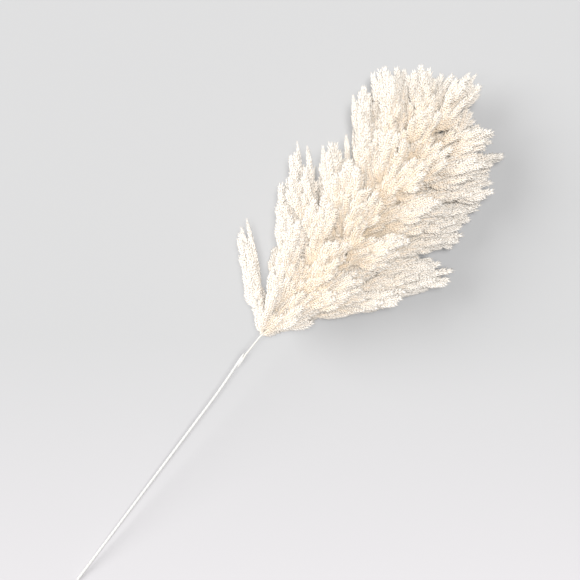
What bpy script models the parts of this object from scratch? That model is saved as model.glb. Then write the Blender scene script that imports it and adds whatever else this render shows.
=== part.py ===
"""One cut stem of cream pampas grass, lying on a surface.

A wrapped main stem carries a thinner plume stem, bound to its side, and the
plume stem carries the sprays. Each spray is a twig with side fingers, and twig
and fingers are clothed in florets, which stand out here as larger teeth.
X runs from the cut end towards the plume's tip, Y to the left, Z up.
"""

import itertools
import math
import random

import bmesh
import bpy
from mathutils import Vector, kdtree
from mathutils.bvhtree import BVHTree
from mathutils.geometry import interpolate_bezier

# Places along X count from the plume's foot, where its first spray leaves.
FOOT_HEIGHT = 0.098
CUT_END = -0.475
MAIN_STEM_TOP = -0.034
MAIN_STEM_RADIUS = 0.0027
MAIN_STEM_SHOULDER = -0.062
MAIN_STEM_SHOULDER_RADIUS = 0.0024
MAIN_STEM_TOP_RADIUS = 0.0014
MAIN_STEM_VEER = 0.0042
MAIN_STEM_VEER_START = -0.130
MAIN_STEM_STATIONS = (-0.475, -0.390, -0.300, -0.210, -0.130, -0.096, -0.078, -0.062, -0.048, -0.034)
MAIN_STEM_SIDES = 12

PLUME_STEM_START = -0.056
PLUME_STEM_FULL = -0.044
PLUME_STEM_END = 0.380
PLUME_STEM_POINT_RADIUS = 0.0006
PLUME_STEM_RADIUS = 0.0014
PLUME_STEM_END_RADIUS = 0.0008
PLUME_STEM_STATIONS = (-0.056, -0.050, -0.044, -0.039, -0.033, -0.016, 0.0)
PLUME_STEM_RINGS = 22
PLUME_STEM_SIDES = 8
PLUME_RISE = 0.10
PLUME_DROOP = 0.32
PLUME_SWAY = 0.16
PLUME_SWAY_LENGTH = 0.60

BINDING_STATIONS = (-0.0545, -0.050, -0.044, -0.040)
BINDING_WALL = 0.0005
BINDING_SIDES = 18
GAP = 0.0003

# Tips of the sprays round the outline, from the left of the foot over the
# top to the right of the foot: along, across and height.
OUTLINE_TIPS = (
    (0.123, 0.114, 0.105),
    (0.165, 0.067, 0.125),
    (0.202, 0.105, 0.095),
    (0.244, 0.130, 0.090),
    (0.287, 0.083, 0.110),
    (0.328, 0.070, 0.070),
    (0.371, 0.099, 0.105),
    (0.411, 0.097, 0.075),
    (0.426, 0.086, 0.105),
    (0.441, 0.072, 0.075),
    (0.463, 0.046, 0.090),
    (0.478, 0.011, 0.055),
    (0.483, -0.028, 0.080),
    (0.449, -0.072, 0.055),
    (0.446, -0.092, 0.105),
    (0.431, -0.126, 0.050),
    (0.398, -0.108, 0.125),
    (0.387, -0.133, 0.085),
    (0.347, -0.142, 0.050),
    (0.324, -0.122, 0.105),
    (0.299, -0.146, 0.070),
    (0.246, -0.165, 0.075),
    (0.222, -0.157, 0.050),
    (0.178, -0.129, 0.105),
    (0.143, -0.096, 0.050),
    (0.106, -0.058, 0.050),
    (0.076, -0.034, 0.105),
)
# Tips of the sprays on the underside, which lie on the surface.
LOWER_TIPS = (
    (0.152, 0.054, 0.000),
    (0.250, 0.085, -0.005),
    (0.275, -0.095, -0.005),
    (0.215, 0.000, -0.005),
    (0.350, 0.055, -0.005),
    (0.365, -0.065, -0.005),
)
# Tips of the sprays on the upper side, over the plume stem.
UPPER_TIPS = (
    (0.414, 0.000, 0.140),
    (0.350, 0.015, 0.170),
    (0.332, 0.052, 0.145),
    (0.342, -0.035, 0.168),
    (0.385, -0.058, 0.145),
    (0.280, 0.045, 0.160),
    (0.215, 0.044, 0.175),
    (0.168, 0.050, 0.155),
    (0.262, -0.010, 0.190),
    (0.238, -0.085, 0.160),
    (0.308, -0.084, 0.150),
    (0.178, -0.018, 0.188),
    (0.150, -0.066, 0.155),
    (0.105, 0.028, 0.145),
    (0.092, -0.024, 0.142),
    (0.205, -0.078, 0.112),
)

# How a spray grows.
SPREAD = 1.25
SHORTEST_SPRAY = 0.105
FIRST_ROOT = 0.004
LAST_ROOT = 0.376
START_LEAN = 0.78
TWIG_FOOT_RADIUS = 0.0012
TWIG_RADIUS = 0.0058
TWIG_RINGS = 15
TWIG_TRIES = 150
TIP_JITTER = 0.018
ROOT_JITTER = 0.020
BARE_SHARE = 0.05
TWIG_FULLNESS = 0.97

# How a side finger grows from its twig.
FINGER_SPANS = ((0.22, 0.68), (0.33, 0.78), (0.43, 0.87), (0.53, 0.95), (0.63, 1.00))
FINGER_RADIUS = 0.0066
FINGER_ROOT = 0.6
FINGER_SLANT = 0.75
FINGER_OFFSET = 0.0124
FINGER_RINGS = 8
FINGER_TURN = math.radians(137.5)
FINGER_TRIES = 16
FINGER_CLEAR_FROM = 4
LEFT_SPRAY_SPANS = ((0.08, 0.42), (0.20, 0.58), (0.32, 0.72), (0.44, 0.86), (0.56, 0.97))
LEFT_SPRAY_TURN = math.radians(-205)
LEFT_SPRAY_STEP = math.radians(35)
SPROUT_TRIES = 8
FULLNESS_TRIES = (0.97, 0.88)
TIP_POINT = 0.55

# How far the two handles of a line's curve reach, as shares of its length.
TWIG_HANDLES = (0.36, 0.30)
TWIG_POINTS = 24
FINGER_HANDLES = (0.32, 0.42)
FINGER_POINTS = 12

CLEAR_SHARE = 0.85
CLEARANCE = 0.0008
CHECK_STEP = 0.003
SURFACE_SOFTNESS = 0.0025
SURFACE_SINK = 0.72
SURFACE_SINK_STEM = 0.90
SEED = 37

CREAM = (0.93, 0.86, 0.74, 1.0)
CREAM_SHADE = (0.90, 0.81, 0.67, 1.0)
WHITE_WRAP = (0.93, 0.93, 0.90, 1.0)
ROUND_BELOW = math.radians(40)


def clear_scene():
    for obj in list(bpy.data.objects):
        bpy.data.objects.remove(obj)


def material(name, colour, roughness):
    made = bpy.data.materials.new(name)
    made.use_nodes = True
    shader = made.node_tree.nodes["Principled BSDF"]
    shader.inputs["Base Color"].default_value = colour
    shader.inputs["Roughness"].default_value = roughness
    shader.inputs["Metallic"].default_value = 0.0
    return made


# The lines that the stems follow


def blend(x, low, high, at_low, at_high):
    """From one value to the other between two places, and level outside them."""
    share = min(1.0, max(0.0, (x - low) / (high - low)))
    return at_low + (at_high - at_low) * share


def main_stem_point(x):
    """The main stem rises straight from its cut end on the surface, and veers left at its top."""
    veer = blend(x, MAIN_STEM_VEER_START, MAIN_STEM_TOP, 0.0, 1.0) ** 2
    height = blend(x, CUT_END, 0.0, SURFACE_SINK_STEM * MAIN_STEM_RADIUS, FOOT_HEIGHT)
    return Vector((x, MAIN_STEM_VEER * veer, height))


def main_stem_radius(x):
    if x < MAIN_STEM_SHOULDER:
        return blend(x, CUT_END, MAIN_STEM_SHOULDER, MAIN_STEM_RADIUS, MAIN_STEM_SHOULDER_RADIUS)
    return blend(x, MAIN_STEM_SHOULDER, MAIN_STEM_TOP, MAIN_STEM_SHOULDER_RADIUS, MAIN_STEM_TOP_RADIUS)


def plume_stem_radius(x):
    if x < 0:
        return blend(x, PLUME_STEM_START, PLUME_STEM_FULL, PLUME_STEM_POINT_RADIUS, PLUME_STEM_RADIUS)
    return blend(x, 0.0, PLUME_STEM_END, PLUME_STEM_RADIUS, PLUME_STEM_END_RADIUS)


def beside_main_stem(x):
    """The plume stem's line where it lies along the right of the main stem's top."""
    beside = main_stem_point(x)
    beside.y -= main_stem_radius(x) + plume_stem_radius(x) + GAP
    return beside


def plume_point(x):
    """The plume stem sways to the right, rises a little and droops towards its tip."""
    if x < 0:
        beside = beside_main_stem(min(x, MAIN_STEM_TOP))
        return Vector((x, blend(x, MAIN_STEM_TOP, 0.0, beside.y, 0.0), main_stem_point(x).z))
    sway = -PLUME_SWAY * x * (1 - x / PLUME_SWAY_LENGTH)
    return Vector((x, sway, FOOT_HEIGHT + PLUME_RISE * x - PLUME_DROOP * x * x))


def plume_heading(x):
    return (plume_point(x + 0.001) - plume_point(max(x - 0.001, 0.0))).normalized()


def above_surface(point, radius):
    """Bends a line that would run into the surface, so that it lies along it."""
    low = SURFACE_SINK * radius
    over = point.z - low
    height = low + (over + math.hypot(over, SURFACE_SOFTNESS)) / 2
    return Vector((point.x, point.y, height))


def along_line(points, distance):
    """The point that far along a line, and the heading there. Past its end the line runs straight on."""
    for start, end in zip(points, points[1:]):
        step = (end - start).length
        if distance <= step:
            return start.lerp(end, distance / step), (end - start).normalized()
        distance -= step
    heading = (points[-1] - points[-2]).normalized()
    return points[-1] + heading * distance, heading


def line_length(points):
    return sum((end - start).length for start, end in zip(points, points[1:]))


def spaced(low, high, count):
    return [low + (high - low) * i / (count - 1) for i in range(count)]


def evenly(points, count):
    return [along_line(points, distance)[0] for distance in spaced(0.0, line_length(points), count)]


# Sprays, which keep clear of each other


class Neighbours:
    """Every line that is already placed, with its radius."""

    def __init__(self):
        self.placed = []
        self.tree = kdtree.KDTree(0)
        self.tree.balance()

    def add(self, points, radius_at):
        length = line_length(points)
        count = max(2, math.ceil(length / CHECK_STEP))
        for i, point in enumerate(evenly(points, count)):
            self.placed.append((point, radius_at(i / (count - 1))))
        self.tree = kdtree.KDTree(len(self.placed))
        for i, (point, _) in enumerate(self.placed):
            self.tree.insert(point, i)
        self.tree.balance()

    def crossings(self, points, radius_at, skip=0.0):
        """How many check points of this line come too near to another line."""
        length = line_length(points)
        count = max(2, math.ceil(length / CHECK_STEP))
        found = 0
        for i, point in enumerate(evenly(points, count)):
            share = i / (count - 1)
            if share < skip:
                continue
            radius = radius_at(share)
            near = self.tree.find_range(point, radius + TWIG_RADIUS + CLEARANCE)
            if any(
                distance < radius + self.placed[index][1] + CLEARANCE
                for _, index, distance in near
            ):
                found += 1
        return found


def twig_radius(share):
    """Bare at its foot, then clothed in florets and fullest past the middle."""
    if share < BARE_SHARE:
        return TWIG_FOOT_RADIUS
    clothed = (share - BARE_SHARE) / (1 - BARE_SHARE)
    swell = min(1.0, 0.45 + 1.8 * clothed)
    return TWIG_RADIUS * swell * min(1.0, 0.50 + 3.5 * (1 - clothed))


def kept_clear(radius_at):
    """The share of a radius that neighbours keep out of. Only the teeth's points reach past it."""
    return lambda share: CLEAR_SHARE * radius_at(share)


def finger_radius(share):
    """Slim at its root, fullest past its middle and blunt at its end."""
    swell = min(1.0, 0.40 + 1.3 * share)
    return FINGER_RADIUS * swell * min(1.0, 0.52 + 2.2 * (1 - share))


def twig_line(tip, shift):
    """A twig from its root on the plume stem to its tip: it leaves steeply and flares outwards."""
    reach = math.hypot(tip.y - plume_point(tip.x).y, tip.z - FOOT_HEIGHT)
    along = tip.x - max(SPREAD * reach, SHORTEST_SPRAY) + shift
    along = max(FIRST_ROOT + abs(shift), min(along, LAST_ROOT))
    base = plume_point(along)
    forward = plume_heading(along)
    out = (tip - base) - forward * (tip - base).dot(forward)
    lean = START_LEAN * forward.angle(tip - base)
    out.normalize()
    heading = forward * math.cos(lean) + out * math.sin(lean)
    root = base + out * (plume_stem_radius(along) + GAP + TWIG_FOOT_RADIUS * math.cos(lean))
    length = (tip - root).length
    first = root + heading * length * TWIG_HANDLES[0]
    second = tip - (tip - first).normalized() * length * TWIG_HANDLES[1]
    line = interpolate_bezier(root, first, second, tip, TWIG_POINTS)
    shares = spaced(0.0, 1.0, TWIG_POINTS)
    return [above_surface(point, twig_radius(share)) for point, share in zip(line, shares)]


def grow_twig(tip, neighbours, rng):
    """The twig, of those tried round this tip, that comes nearest to the fewest others."""
    best = None
    for attempt in range(TWIG_TRIES):
        share = attempt / TWIG_TRIES
        moved = tip + Vector([rng.uniform(-share, share) * TIP_JITTER for _ in range(3)])
        line = twig_line(moved, rng.uniform(-share, share) * ROOT_JITTER)
        count = neighbours.crossings(line, kept_clear(twig_radius), skip=0.03)
        if best is None or count < best[0]:
            best = (count, line)
        if count == 0:
            break
    return best


def finger_line(twig, span, turn, offset):
    """A side finger leaves its twig at a slant and then runs beside it."""
    twig_length = line_length(twig)
    length = twig_length * (span[1] - span[0])
    start, heading = along_line(twig, twig_length * span[0])
    beyond, final = along_line(twig, twig_length * span[1])
    upright = (Vector((0, 0, 1)) - final * final.z).normalized()
    out = upright * math.cos(turn) + final.cross(upright) * math.sin(turn)
    start = start + out * FINGER_ROOT * twig_radius(span[0])
    end = beyond + out * offset
    first = start + (heading + out * FINGER_SLANT).normalized() * length * FINGER_HANDLES[0]
    second = end - final * length * FINGER_HANDLES[1]
    line = interpolate_bezier(start, first, second, end, FINGER_POINTS)
    shares = spaced(0.0, 1.0, FINGER_POINTS)
    return [above_surface(point, finger_radius(share)) for point, share in zip(line, shares)]


def grow_fingers(twig, spans, turn, step, neighbours, rng):
    """Side fingers in a spiral round the twig. One that finds no room is left out.

    Near its root a finger is inside its own twig, so it is only checked against it further on.
    """
    fingers = []
    own = Neighbours()
    own.add(twig, kept_clear(twig_radius))
    for span in spans:
        turn += step
        shift = rng.uniform(-0.03, 0.01)
        moved = (span[0] + shift, span[1] + shift)
        offset = FINGER_OFFSET * rng.uniform(0.95, 1.2)
        for attempt in range(FINGER_TRIES):
            swing = turn + math.pi * attempt / FINGER_TRIES * (-1) ** attempt
            line = finger_line(twig, moved, swing, offset * (1 - 0.02 * attempt))
            blocked = neighbours.crossings(line, kept_clear(finger_radius))
            beside = line[FINGER_CLEAR_FROM:]
            crowded = own.crossings(beside, kept_clear(finger_radius))
            if not blocked and not crowded:
                fingers.append(line)
                own.add(beside, kept_clear(finger_radius))
                break
    return fingers


def spiral(tip, rng):
    """Where a spray's fingers leave, and their turns. The spray furthest left has its own, on its left."""
    if tip == OUTLINE_TIPS[0]:
        return LEFT_SPRAY_SPANS, LEFT_SPRAY_TURN, LEFT_SPRAY_STEP
    return FINGER_SPANS, rng.uniform(0, math.tau), FINGER_TURN


def grow_plume():
    """Every spray as its twig's line and its fingers' lines, each clear of the other sprays."""
    rng = random.Random(SEED)
    neighbours = Neighbours()
    stem = [plume_point(x) for x in spaced(0.0, PLUME_STEM_END, 41)]
    neighbours.add(stem, lambda share: PLUME_STEM_RADIUS)
    sprays = []
    for tip in OUTLINE_TIPS + LOWER_TIPS + UPPER_TIPS:
        crossed, twig = grow_twig(Vector(tip), neighbours, rng)
        if crossed:
            print("no clear way for the twig to", tip, crossed)
            continue
        fingers = grow_fingers(twig, *spiral(tip, rng), neighbours, rng)
        neighbours.add(twig, kept_clear(twig_radius))
        for finger in fingers:
            neighbours.add(finger, kept_clear(finger_radius))
        sprays.append((twig, fingers))
    print(len(sprays), "sprays with", sum(len(fingers) for _, fingers in sprays), "fingers")
    return sprays


# Solids


def frames(points):
    """At each point its heading, and two directions across it that turn as little as they can."""
    headings = [(b - a).normalized() for a, b in zip(points, points[1:])]
    headings.append(headings[-1])
    side = headings[0].orthogonal().normalized()
    found = []
    for before, heading in zip([headings[0]] + headings, headings):
        side = before.rotation_difference(heading) @ side
        found.append((heading, side, heading.cross(side)))
    return found


def ring_edges(bm, ring):
    return [bm.edges.get((a, b)) for a, b in zip(ring, ring[1:] + ring[:1])]


def extruded_ring(bm, ring, places):
    """The next ring of a wall, extruded from the last and set in its places."""
    made = bmesh.ops.extrude_edge_only(bm, edges=ring_edges(bm, ring))["geom"]
    fresh = {item for item in made if isinstance(item, bmesh.types.BMVert)}
    following = [
        next(edge.other_vert(vert) for edge in vert.link_edges if edge.other_vert(vert) in fresh)
        for vert in ring
    ]
    for vert, place in zip(following, places):
        vert.co = place
    return following


def extruded_rings(rings):
    """A closed solid through rings of equal count."""
    bm = bmesh.new()
    made = bmesh.ops.create_circle(bm, cap_ends=True, segments=len(rings[0]), radius=1)
    ring = list(made["verts"])
    for vert, place in zip(ring, rings[0]):
        vert.co = place
    for places in rings[1:]:
        ring = extruded_ring(bm, ring, places)
    bmesh.ops.holes_fill(bm, edges=ring_edges(bm, ring), sides=0)
    bmesh.ops.recalc_face_normals(bm, faces=bm.faces)
    return bm


def round_rings(points, radii, sides):
    rings = []
    for point, radius, (_, side, over) in zip(points, radii, frames(points)):
        turns = spaced(0.0, math.tau, sides + 1)[:-1]
        rings.append([point + (side * math.cos(a) + over * math.sin(a)) * radius for a in turns])
    return rings


def wrap_ring(x, clear):
    """A loop drawn tight round both stems at one place, this far clear of them."""
    stems = (
        (main_stem_point(x), main_stem_radius(x) + clear),
        (plume_point(x), plume_stem_radius(x) + clear),
    )
    ring = []
    for turn in spaced(0.0, math.tau, BINDING_SIDES + 1)[:-1]:
        out = Vector((0.0, math.cos(turn), math.sin(turn)))
        ring.append(max((centre + out * radius for centre, radius in stems), key=out.dot))
    return ring


def draw_out(bm, face, line, radius_at, count):
    """Extrudes a triangle along a line. The three teeth of each ring stand between those of the last."""
    points = evenly(line, count + 1)
    pitch = line_length(line) / count
    turned = frames(points)
    _, side, over = turned[0]
    spokes = [vert.co - face.calc_center_median() for vert in face.verts]
    start = math.atan2(spokes[0].dot(over), spokes[0].dot(side))
    onward = (side * math.cos(start + 2) + over * math.sin(start + 2)).dot(spokes[1])
    step = math.tau / 3 if onward > 0 else -math.tau / 3
    for i in range(1, count + 1):
        _, side, over = turned[i]
        radius = radius_at(i / count)
        face = bmesh.ops.extrude_discrete_faces(bm, faces=[face])["faces"][0]
        for k, vert in enumerate(face.verts):
            angle = start + step * (k + 0.5 * ((i + 1) % 2))
            vert.co = points[i] + (side * math.cos(angle) + over * math.sin(angle)) * radius
    peak = bmesh.ops.poke(bm, faces=[face])["verts"][0]
    peak.co = points[-1] + turned[-1][0] * pitch * TIP_POINT


def crosses_itself(bm):
    """True where a face cuts a face that it shares no corner with."""
    bm.faces.ensure_lookup_table()
    tree = BVHTree.FromBMesh(bm)
    return any(
        not set(bm.faces[a].verts) & set(bm.faces[b].verts)
        for a, b in tree.overlap(tree)
        if a < b
    )


def sprouts(skin, line):
    """The faces of the twig's skin that turn forwards, from the nearest to the finger's root."""
    way = (line[1] - line[0]).normalized()
    onward = (line[-1] - line[-2]).normalized()
    facing = [place for place, normal in skin if normal.dot(onward) > 0.05 and normal.dot(way) > 0.2]
    return sorted(facing, key=lambda place: (place - line[0]).length)[:SPROUT_TRIES]


def with_finger(bm, place, line, fullness):
    """A copy of the twig with one more finger, drawn out of the face at this place."""
    grown = bm.copy()
    face = min(grown.faces, key=lambda face: (face.calc_center_median() - place).length)
    draw_out(grown, face, line[1:], lambda share: fullness * finger_radius(share), FINGER_RINGS)
    bmesh.ops.triangulate(grown, faces=grown.faces, quad_method="SHORT_EDGE")
    bmesh.ops.recalc_face_normals(grown, faces=grown.faces)
    return grown


def twig_solid(twig):
    """A twig clothed in teeth, from a short three-sided foot."""
    bm = bmesh.new()
    places = round_rings(twig[:2], [TWIG_FOOT_RADIUS] * 2, 3)
    bmesh.ops.create_cone(bm, cap_ends=True, segments=3, radius1=1, radius2=1, depth=1)
    low = sorted(bm.verts, key=lambda vert: (vert.co.z, math.atan2(vert.co.y, vert.co.x)))
    for vert, place in zip(low, places[0] + places[1]):
        vert.co = place
    top = next(face for face in bm.faces if all(vert in low[3:] for vert in face.verts))
    draw_out(bm, top, twig[1:], lambda share: TWIG_FULLNESS * twig_radius(share), TWIG_RINGS)
    bmesh.ops.triangulate(bm, faces=bm.faces, quad_method="SHORT_EDGE")
    bmesh.ops.recalc_face_normals(bm, faces=bm.faces)
    return bm


def spray_solid(twig, fingers):
    """A twig with every finger that can be drawn out of its faces without crossing it."""
    bm = twig_solid(twig)
    skin = [(face.calc_center_median(), face.normal.copy()) for face in bm.faces]
    left_out = 0
    for line in fingers:
        for place, fullness in itertools.product(sprouts(skin, line), FULLNESS_TRIES):
            grown = with_finger(bm, place, line, fullness)
            if not crosses_itself(grown):
                bm.free()
                bm = grown
                break
            grown.free()
        else:
            left_out += 1
    return bm, left_out


def as_object(bm, name, finish):
    mesh = bpy.data.meshes.new(name)
    bm.to_mesh(mesh)
    bm.free()
    mesh.materials.append(finish)
    obj = bpy.data.objects.new(name, mesh)
    bpy.context.scene.collection.objects.link(obj)
    return obj


def shade_round(obj):
    obj.data.shade_smooth()
    obj.data.set_sharp_from_angle(angle=ROUND_BELOW)


def lie_on_surface(obj):
    """What would reach below the surface is cut flat on it."""
    if min(vert.co.z for vert in obj.data.vertices) >= 0:
        return
    bm = bmesh.new()
    bm.from_mesh(obj.data)
    bmesh.ops.bisect_plane(
        bm,
        geom=bm.verts[:] + bm.edges[:] + bm.faces[:],
        dist=1e-6,
        plane_co=(0, 0, 0),
        plane_no=(0, 0, -1),
        clear_outer=True,
    )
    bmesh.ops.holes_fill(bm, edges=[edge for edge in bm.edges if edge.is_boundary], sides=0)
    bmesh.ops.triangulate(bm, faces=bm.faces, quad_method="SHORT_EDGE")
    bm.to_mesh(obj.data)
    bm.free()


def build_spray(name, twig, fingers, finish):
    bm, left_out = spray_solid(twig, fingers)
    if left_out:
        print(name, "is without", left_out, "of its", len(fingers), "fingers")
    lie_on_surface(as_object(bm, name, finish))


def build_main_stem(finish):
    points = [main_stem_point(x) for x in MAIN_STEM_STATIONS]
    radii = [main_stem_radius(x) for x in MAIN_STEM_STATIONS]
    rings = round_rings(points, radii, MAIN_STEM_SIDES)
    obj = as_object(extruded_rings(rings), "main_stem", finish)
    lie_on_surface(obj)
    shade_round(obj)


def build_plume_stem(finish):
    stations = PLUME_STEM_STATIONS + tuple(spaced(0.0, PLUME_STEM_END, PLUME_STEM_RINGS)[1:])
    points = [plume_point(x) for x in stations]
    radii = [plume_stem_radius(x) for x in stations]
    rings = round_rings(points, radii, PLUME_STEM_SIDES)
    shade_round(as_object(extruded_rings(rings), "plume_stem", finish))


def build_binding(finish):
    """A tape sleeve round both stems: out along its outside and back along its inside."""
    bm = bmesh.new()
    outside = [wrap_ring(x, GAP + BINDING_WALL) for x in BINDING_STATIONS]
    inside = [wrap_ring(x, GAP) for x in reversed(BINDING_STATIONS)]
    rings = outside + inside
    made = bmesh.ops.create_circle(bm, segments=BINDING_SIDES, radius=1)
    ring = list(made["verts"])
    first = ring
    for vert, place in zip(ring, rings[0]):
        vert.co = place
    for places in rings[1:]:
        ring = extruded_ring(bm, ring, places)
    bmesh.ops.bridge_loops(bm, edges=ring_edges(bm, ring) + ring_edges(bm, first))
    bmesh.ops.recalc_face_normals(bm, faces=bm.faces)
    shade_round(as_object(bm, "binding", finish))


def put_origin_below_middle():
    """Moves everything so that the origin is on the surface, below the middle of the whole."""
    corners = [obj.matrix_world @ vert.co for obj in bpy.data.objects for vert in obj.data.vertices]
    middle_x = (min(c.x for c in corners) + max(c.x for c in corners)) / 2
    middle_y = (min(c.y for c in corners) + max(c.y for c in corners)) / 2
    for obj in bpy.data.objects:
        obj.location = (-middle_x, -middle_y, 0)


def main():
    clear_scene()
    cream = material("cream florets", CREAM, 0.85)
    shade = material("plume stem cream", CREAM_SHADE, 0.7)
    wrap = material("white stem wrap", WHITE_WRAP, 0.6)
    build_main_stem(wrap)
    build_binding(wrap)
    build_plume_stem(shade)
    for number, (twig, fingers) in enumerate(grow_plume(), start=1):
        build_spray(f"spray_{number:02d}", twig, fingers, cream)
    put_origin_below_middle()


main()
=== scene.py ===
import math
import random

import bmesh
import bpy
import numpy as np
from mathutils import Matrix, Vector, kdtree
from mathutils.geometry import interpolate_bezier


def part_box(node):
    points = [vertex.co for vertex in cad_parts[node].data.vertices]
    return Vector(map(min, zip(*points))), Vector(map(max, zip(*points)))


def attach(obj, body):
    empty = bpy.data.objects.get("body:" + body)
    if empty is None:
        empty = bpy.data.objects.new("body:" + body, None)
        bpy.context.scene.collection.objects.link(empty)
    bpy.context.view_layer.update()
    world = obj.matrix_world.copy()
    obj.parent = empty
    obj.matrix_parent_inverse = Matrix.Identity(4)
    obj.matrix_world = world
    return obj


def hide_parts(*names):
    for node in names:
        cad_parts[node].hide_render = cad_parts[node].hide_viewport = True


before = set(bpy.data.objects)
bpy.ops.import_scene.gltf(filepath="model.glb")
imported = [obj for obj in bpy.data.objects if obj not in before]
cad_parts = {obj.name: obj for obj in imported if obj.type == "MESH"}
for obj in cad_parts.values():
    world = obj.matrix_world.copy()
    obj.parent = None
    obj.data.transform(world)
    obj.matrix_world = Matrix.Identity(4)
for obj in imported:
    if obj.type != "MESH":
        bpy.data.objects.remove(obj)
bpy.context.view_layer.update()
print("frame loaded with", len(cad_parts), "solids")


# places along X count from the plume's foot, as they do for the solids
stemLine = {
    "footHeight": 0.098,
    "cutEnd": -0.475,
    "top": -0.034,
    "radius": 0.0027,
    "shoulder": -0.062,
    "shoulderRadius": 0.0024,
    "topRadius": 0.0014,
    "veer": 0.0042,
    "veerStart": -0.130,
    "sink": 0.90,
}

plumeLine = {
    "start": -0.056,
    "full": -0.044,
    "end": 0.380,
    "pointRadius": 0.0006,
    "radius": 0.0014,
    "endRadius": 0.0008,
    "rise": 0.10,
    "droop": 0.32,
    "sway": 0.16,
    "swayLength": 0.60,
    "gap": 0.0003,
    "headingStep": 0.001,
    "checkPlaces": 41,
}


def blend(x, low, high, atLow, atHigh):
    share = min(1.0, max(0.0, (x - low) / (high - low)))
    return atLow + (atHigh - atLow) * share


def spaced(low, high, count):
    return [low + (high - low) * i / (count - 1) for i in range(count)]


def stemPoint(x):
    s = stemLine
    veer = blend(x, s["veerStart"], s["top"], 0.0, 1.0) ** 2
    height = blend(x, s["cutEnd"], 0.0, s["sink"] * s["radius"], s["footHeight"])
    return Vector((x, s["veer"] * veer, height))


def stemRadius(x):
    s = stemLine
    if x < s["shoulder"]:
        return blend(x, s["cutEnd"], s["shoulder"], s["radius"], s["shoulderRadius"])
    return blend(x, s["shoulder"], s["top"], s["shoulderRadius"], s["topRadius"])


def plumeRadius(x):
    p = plumeLine
    if x < 0:
        return blend(x, p["start"], p["full"], p["pointRadius"], p["radius"])
    return blend(x, 0.0, p["end"], p["radius"], p["endRadius"])


def plumePoint(x):
    p = plumeLine
    if x < 0:  # beside the main stem, then across to the foot
        held = min(x, stemLine["top"])
        besideY = stemPoint(held).y - (stemRadius(held) + plumeRadius(held) + p["gap"])
        return Vector((x, blend(x, stemLine["top"], 0.0, besideY, 0.0), stemPoint(x).z))
    sway = -p["sway"] * x * (1 - x / p["swayLength"])
    return Vector((x, sway, stemLine["footHeight"] + p["rise"] * x - p["droop"] * x * x))


def plumeHeading(x):
    step = plumeLine["headingStep"]
    return (plumePoint(x + step) - plumePoint(max(x - step, 0.0))).normalized()


def alongLine(points, distance):
    for start, end in zip(points, points[1:]):
        step = (end - start).length
        if distance <= step:
            return start.lerp(end, distance / step), (end - start).normalized()
        distance -= step
    heading = (points[-1] - points[-2]).normalized()
    return points[-1] + heading * distance, heading


def lineLength(points):
    return sum((end - start).length for start, end in zip(points, points[1:]))


def evenly(points, count):
    return [alongLine(points, distance)[0] for distance in spaced(0.0, lineLength(points), count)]


# the sprays' tips, first round the outline, then on the underside, then on top
outlineTips = (
    (0.123, 0.114, 0.105),
    (0.165, 0.067, 0.125),
    (0.202, 0.105, 0.095),
    (0.244, 0.130, 0.090),
    (0.287, 0.083, 0.110),
    (0.328, 0.070, 0.070),
    (0.371, 0.099, 0.105),
    (0.411, 0.097, 0.075),
    (0.426, 0.086, 0.105),
    (0.441, 0.072, 0.075),
    (0.463, 0.046, 0.090),
    (0.478, 0.011, 0.055),
    (0.483, -0.028, 0.080),
    (0.449, -0.072, 0.055),
    (0.446, -0.092, 0.105),
    (0.431, -0.126, 0.050),
    (0.398, -0.108, 0.125),
    (0.387, -0.133, 0.085),
    (0.347, -0.142, 0.050),
    (0.324, -0.122, 0.105),
    (0.299, -0.146, 0.070),
    (0.246, -0.165, 0.075),
    (0.222, -0.157, 0.050),
    (0.178, -0.129, 0.105),
    (0.143, -0.096, 0.050),
    (0.106, -0.058, 0.050),
    (0.076, -0.034, 0.105),
)
lowerTips = (
    (0.152, 0.054, 0.000),
    (0.250, 0.085, -0.005),
    (0.275, -0.095, -0.005),
    (0.215, 0.000, -0.005),
    (0.350, 0.055, -0.005),
    (0.365, -0.065, -0.005),
)
upperTips = (
    (0.414, 0.000, 0.140),
    (0.350, 0.015, 0.170),
    (0.332, 0.052, 0.145),
    (0.342, -0.035, 0.168),
    (0.385, -0.058, 0.145),
    (0.280, 0.045, 0.160),
    (0.215, 0.044, 0.175),
    (0.168, 0.050, 0.155),
    (0.262, -0.010, 0.190),
    (0.238, -0.085, 0.160),
    (0.308, -0.084, 0.150),
    (0.178, -0.018, 0.188),
    (0.150, -0.066, 0.155),
    (0.105, 0.028, 0.145),
    (0.092, -0.024, 0.142),
    (0.205, -0.078, 0.112),
)

twig = {
    "spread": 1.25,
    "shortest": 0.105,
    "firstRoot": 0.004,
    "lastRoot": 0.376,
    "lean": 0.78,
    "footRadius": 0.0012,
    "radius": 0.0058,
    "swell": (0.45, 1.8),  # its share of the radius at the foot, and the rise from there
    "taper": (0.50, 3.5),  # the same at the end
    "tries": 150,
    "tipJitter": 0.018,
    "rootJitter": 0.020,
    "bareShare": 0.05,
    "pastFoot": 1e-6,
    "clearFrom": 0.03,
    "handles": (0.36, 0.30),
    "points": 24,
}

finger = {
    "spans": ((0.22, 0.68), (0.33, 0.78), (0.43, 0.87), (0.53, 0.95), (0.63, 1.00)),
    "radius": 0.0066,
    "swell": (0.40, 1.3),
    "taper": (0.52, 2.2),
    "root": 0.6,
    "slant": 0.75,
    "offset": 0.0124,
    "offsetShares": (0.95, 1.2),
    "shifts": (-0.03, 0.01),
    "turn": math.radians(137.5),
    "tries": 16,
    "drawIn": 0.02,
    "clearFrom": 4,
    "handles": (0.32, 0.42),
    "points": 12,
    # the first spray's fingers stand on one side of it, not all round
    "leftSpans": ((0.08, 0.42), (0.20, 0.58), (0.32, 0.72), (0.44, 0.86), (0.56, 0.97)),
    "leftTurn": math.radians(-205),
    "leftStep": math.radians(35),
}

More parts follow.
